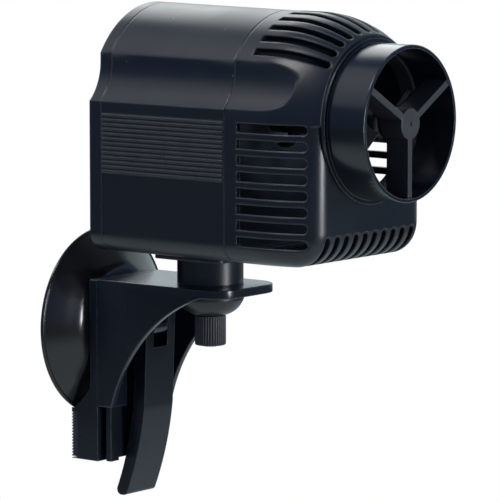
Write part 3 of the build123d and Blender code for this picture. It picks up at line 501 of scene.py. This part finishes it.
def turned(name, points, centre, material, body, node):
    """Turn a closed profile of (radius, y) in mm about the Y axis through centre, given as (x, z)."""
    loop = eased(points)
    rings = len(loop)
    vertices, faces = [], []
    for turn in range(TURN_STEPS):
        angle = 2 * math.pi * turn / TURN_STEPS
        for radius, y in loop:
            vertices.append(((centre[0] + radius * math.cos(angle)) * MM, y * MM,
                             (centre[1] + radius * math.sin(angle)) * MM))
        this, following = turn * rings, (turn + 1) % TURN_STEPS * rings
        for ring in range(rings):
            beside = (ring + 1) % rings
            faces.append((this + ring, this + beside, following + beside, following + ring))
    mesh = bpy.data.meshes.new(name)
    mesh.from_pydata(vertices, [], faces)
    merge_axis(mesh)
    mesh.materials.append(material)
    mesh.polygons.foreach_set("use_smooth", [True] * len(mesh.polygons))
    mesh.set_sharp_from_angle(angle=SMOOTH_BELOW)
    piece = bpy.data.objects.new(name, mesh)
    scene.collection.objects.link(piece)
    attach(piece, body)
    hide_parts(node)
    return piece


# %% [markdown]
# The cup is a shallow dome with a thin lip that lies on the glass and a fine crease where the lip
# begins. Its thick middle holds the stem's plate.

# %% Turn the suction cup
CUP_PROFILE = [
    # the flat top, from the stem's hole outwards, and the shoulder
    (3.8, -9.0), (3.8, -9.0), (9.0, -9.0), (15.0, -9.0), (18.0, -8.95), (20.0, -8.7), (22.2, -7.95),
    # the dome, down to the crease
    (25.0, -6.5), (28.5, -4.6), (31.6, -2.75), (33.2, -1.7), (33.9, -1.2), (33.9, -1.2),
    (34.15, -1.05), (34.15, -1.05), (34.6, -1.15),
    # the lip's soft edge, and the rim that lies on the glass
    (35.1, -0.85), (35.3, -0.4), (35.2, 0.0), (35.2, 0.0), (34.2, -0.08), (33.2, -0.35),
    # the hollow under the dome
    (32.0, -0.9), (29.4, -2.4), (26.0, -3.7), (22.0, -5.3), (18.0, -6.3), (15.2, -6.4),
    (13.3, -5.2), (12.6, -3.9), (11.4, -3.2),
    # the thick middle, and the room in it for the stem's plate
    (4.0, -3.2), (0.0, -3.2), (0.0, -3.2), (0.0, -5.2), (0.0, -5.2), (9.3, -5.2), (9.3, -5.2),
    (9.3, -7.0), (9.3, -7.0), (3.8, -7.0), (3.8, -7.0),
]
cup = turned("cup", CUP_PROFILE, (0, 0), cup_rubber, "mount_base", "suction_cup")
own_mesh(cup)
print("cup:", len(cup.data.vertices), "points")

# %% [markdown]
# The grommet seals the cable's way through the rear cover: a neck in the hole, a flange on the inside,
# and outside a sleeve with ring grooves, which let it bend. The bore is left open for the cable.

# %% Turn the cable's grommet
BORE, FLANGE, NECK, SLEEVE_FOOT, SLEEVE = 2.9, 5.4, 4.2, 7.0, 7.15    # radii in mm
COVER_DEPTH = 6.1             # mm from the rear cover's joint line to its back
RINGS = 3
RING_START, RING_STOP = 0.5, 1.1      # mm left free at the two ends of a ring
GROOVE = ((6.7, 0.75), (5.9, 0.6), (5.9, 0.2), (6.7, 0.0))    # radius, and mm before the ring's end
TIP = ((6.7, 0.4), (5.6, 0), (3.5, 0), (BORE, 0.5), (BORE, 1.0))      # the same at the sleeve's end

gland_low, gland_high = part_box("cable_gland")
GLAND_CENTRE = tuple((gland_low[k] + gland_high[k]) / 2 / MM for k in (0, 2))
GLAND_INSIDE, GLAND_END = gland_low[1] / MM, gland_high[1] / MM
COVER_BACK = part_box("rear_cover")[1][1] / MM
COVER_FRONT = COVER_BACK - COVER_DEPTH
ring_length = (GLAND_END - COVER_BACK) / RINGS

gland_profile = corners((BORE, GLAND_INSIDE), (FLANGE, GLAND_INSIDE), (FLANGE, COVER_FRONT),
                        (NECK, COVER_FRONT), (NECK, COVER_BACK), (SLEEVE_FOOT, COVER_BACK))
for ring in range(RINGS):
    start = COVER_BACK + ring * ring_length
    end = start + ring_length
    gland_profile += [(SLEEVE, start + RING_START), (SLEEVE, end - RING_STOP)]
    if ring < RINGS - 1:
        gland_profile += [(radius, end - before) for radius, before in GROOVE]
gland_profile += [(radius, GLAND_END - before) for radius, before in TIP]
gland = turned("grommet", gland_profile, GLAND_CENTRE, gland_rubber, "pump", "cable_gland")
print("grommet:", len(gland.data.vertices), "points, from y", round(GLAND_INSIDE, 1), "to",
      round(GLAND_END, 1), "mm")


# %% [markdown]
# ## Webs between the teeth
#
# The rail's two legs press on the glass with fine teeth. A thin web stands behind the slits, so they
# look like grooves from the side. Each web is a wedge: full height at the root of the teeth, and it
# leans back towards the tips, so that only the teeth touch the glass.

# %% Make the webs
TOOTH_ROOT_Y, TOOTH_TIP_Y = -2.6, -0.15
WEB_BOTTOM, WEB_TOP = -49.0, -32.2
WEB_OUTER, WEB_INNER = 17.75, 15.75    # distances from the middle of the rail, within its leg
WEB_LEAN, WEB_SET_BACK = 0.15, 0.2     # of the outer and the inner edge, at the tips
WEB_ROUNDING = 0.08


def tooth_web(side):
    """The points and faces of one web; side is 1 or -1."""
    outline = ((WEB_OUTER, TOOTH_ROOT_Y), (WEB_OUTER - WEB_LEAN, TOOTH_TIP_Y),
               (WEB_INNER, TOOTH_TIP_Y - WEB_SET_BACK), (WEB_INNER, TOOTH_ROOT_Y))
    points = [(side * x * MM, y * MM, z * MM) for z in (WEB_BOTTOM, WEB_TOP) for x, y in outline]
    faces = [(0, 1, 2, 3), (7, 6, 5, 4)] + [(k, k + 4, (k + 1) % 4 + 4, (k + 1) % 4) for k in range(4)]
    return points, faces if side > 0 else [face[::-1] for face in faces]


for side, label in ((1, "right"), (-1, "left")):
    points, faces = tooth_web(side)
    mesh = bpy.data.meshes.new(f"tooth_web_{label}")
    mesh.from_pydata(points, [], faces)
    mesh.materials.append(rail_plastic)
    web = bpy.data.objects.new(f"tooth_web_{label}", mesh)
    scene.collection.objects.link(web)
    softened = web.modifiers.new("softened", "BEVEL")
    softened.width = WEB_ROUNDING * MM
    softened.segments = 2
    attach(web, "mount_base")
print("webs between the teeth, from z", WEB_BOTTOM, "to", WEB_TOP, "mm")


# %% [markdown]
# ## Studio
#
# A black glossy thing shows its surroundings more than its own colour, so the room is part of its
# looks. A paper floor and wall are plain white to the camera, and slightly blue in the pump's
# reflections, where the floor is also dimmer and fades out with distance. Both are see-through from
# the back, for a camera that stands behind them.

# %% Helper: studio paper
FLOOR_Z = -0.16
FLOOR_FADE = (0.34, 0.66)     # the floor's reflection fades out between these distances
REFLECTED_WHITE = (0.80, 0.94, 1.0)
WHITE = (1.0, 1.0, 1.0)


def studio_white(name, colour, mirrored, mirrored_far=None):
    """Paper that is white to the camera, and a share of white to reflections."""
    material, tree = new_material(name)
    tree.nodes.clear()
    rays = add(tree, "ShaderNodeLightPath")
    direct = math_node(tree, "MAXIMUM", rays.outputs["Is Camera Ray"], rays.outputs["Is Transmission Ray"])
    seen = math_node(tree, "MAXIMUM", direct, rays.outputs["Is Glossy Ray"])
    if mirrored_far is None:
        share = spread(tree, direct, 0.0, 1.0, mirrored, 1.0)
    else:
        distance = add(tree, "ShaderNodeVectorMath", operation="DISTANCE")
        feed(tree, add(tree, "ShaderNodeNewGeometry").outputs["Position"], distance.inputs[0])
        feed(tree, (CAMERA_TARGET.x, CAMERA_TARGET.y, FLOOR_Z), distance.inputs[1])
        faded = spread(tree, distance.outputs["Value"], *FLOOR_FADE, mirrored, mirrored_far)
        share = math_node(tree, "MAXIMUM", direct, faded)
    glow = add(tree, "ShaderNodeEmission")
    feed(tree, mix(tree, direct, REFLECTED_WHITE, WHITE), glow.inputs["Color"])
    feed(tree, share, glow.inputs["Strength"])
    matt = add(tree, "ShaderNodeBsdfDiffuse", Color=(*colour, 1))
    front = mix_shaders(tree, seen, matt.outputs[0], glow.outputs[0])
    behind = add(tree, "ShaderNodeNewGeometry").outputs["Backfacing"]
    paper = mix_shaders(tree, behind, front, add(tree, "ShaderNodeBsdfTransparent").outputs[0])
    feed(tree, paper, add(tree, "ShaderNodeOutputMaterial").inputs["Surface"])
    return material


# %% Put up the wall and the floor
WALL_BEHIND = 1.6
WALL_HALF_WIDTH = 2.5
WALL_HEIGHT = 2.2
FLOOR_LENGTH = 3.2
WALL_GREY = (0.8, 0.8, 0.8)
FLOOR_GREY = (0.45, 0.46, 0.48)


def stage_plane(name, corner_points, material):
    """A flat piece of scenery, which isn't part of the object."""
    mesh = bpy.data.meshes.new(name)
    mesh.from_pydata([tuple(point) for point in corner_points], [], [tuple(range(len(corner_points)))])
    mesh.materials.append(material)
    plane = bpy.data.objects.new(name, mesh)
    scene.collection.objects.link(plane)


away = Vector((-towards_camera.x, -towards_camera.y, 0)).normalized()
sideways = WALL_HALF_WIDTH * Vector((-away.y, away.x, 0))
upwards = Vector((0, 0, WALL_HEIGHT))
far = Vector((CAMERA_TARGET.x, CAMERA_TARGET.y, FLOOR_Z)) + WALL_BEHIND * away
near = far - FLOOR_LENGTH * away
stage_plane("wall", [far + sideways, far - sideways, far - sideways + upwards, far + sideways + upwards],
            studio_white("wall_white", WALL_GREY, 1.0))
stage_plane("floor", [near + sideways, near - sideways, far - sideways, far + sideways],
            studio_white("floor_white", FLOOR_GREY, 0.75, 0.10))
print("wall", WALL_BEHIND, "m behind the pump, floor at z", FLOOR_Z, "m")

# %% [markdown]
# Past the paper, the world is white to the camera too. To reflections and as a light it is a dim blue,
# which fills the pump's shaded sides and leaves them dark.

# %% Fill in the world
DIM_BLUE = (0.32, 0.47, 0.82, 1)
DIM_STRENGTH = 0.36
world = bpy.data.worlds.new("studio")
scene.world = world
world.use_nodes = True
tree = world.node_tree
tree.nodes.clear()
dim = add(tree, "ShaderNodeBackground", Color=DIM_BLUE, Strength=DIM_STRENGTH)
bright = add(tree, "ShaderNodeBackground", Color=(*WHITE, 1), Strength=1.0)
to_camera = add(tree, "ShaderNodeLightPath").outputs["Is Camera Ray"]
feed(tree, mix_shaders(tree, to_camera, dim.outputs[0], bright.outputs[0]),
     add(tree, "ShaderNodeOutputWorld").inputs["Surface"])
print("world:", DIM_BLUE[:3], "at", DIM_STRENGTH)

# %% [markdown]
# Each light is a panel, because gloss mirrors the shape of what lights it. Seen from the camera, the
# softbox stands behind the pump and above it, the ceiling card above to the left, the overhead light
# above and somewhat in front, and the right card far to the right. The front strip stands low, in
# front to the right, where the cup's dome mirrors it.

# %% Place the lights
LIGHTS = (                    # name, place, size, power in watts, colour
    ("softbox", (0.75, 0.76, 0.80), (0.62, 0.75), 3.3, (1.0, 0.98, 0.95)),
    ("ceiling card", (-0.52, 0.74, 0.91), (1.1, 0.9), 1.9, (1.0, 0.98, 0.97)),
    ("front strip", (0.12, -1.27, 0.08), (0.17, 0.38), 8.0, (0.92, 0.96, 1.0)),
    ("right card", (1.25, -1.05, 0.60), (1.2, 0.8), 0.6, (0.55, 0.80, 1.0)),
    ("overhead", (-0.62, 0.15, 1.05), (0.40, 0.40), 6.0, (1.0, 0.98, 0.96)),
)
for name, place, size, power, colour in LIGHTS:
    lamp = bpy.data.lights.new(name, "AREA")
    lamp.shape = "RECTANGLE"
    lamp.size, lamp.size_y = size
    lamp.energy = power
    lamp.color = colour
    holder = bpy.data.objects.new(name, lamp)
    holder.location = place
    holder.rotation_euler = (Vector(place) - CAMERA_TARGET).to_track_quat("Z", "Y").to_euler()
    scene.collection.objects.link(holder)
print(f"{len(LIGHTS)} lights")
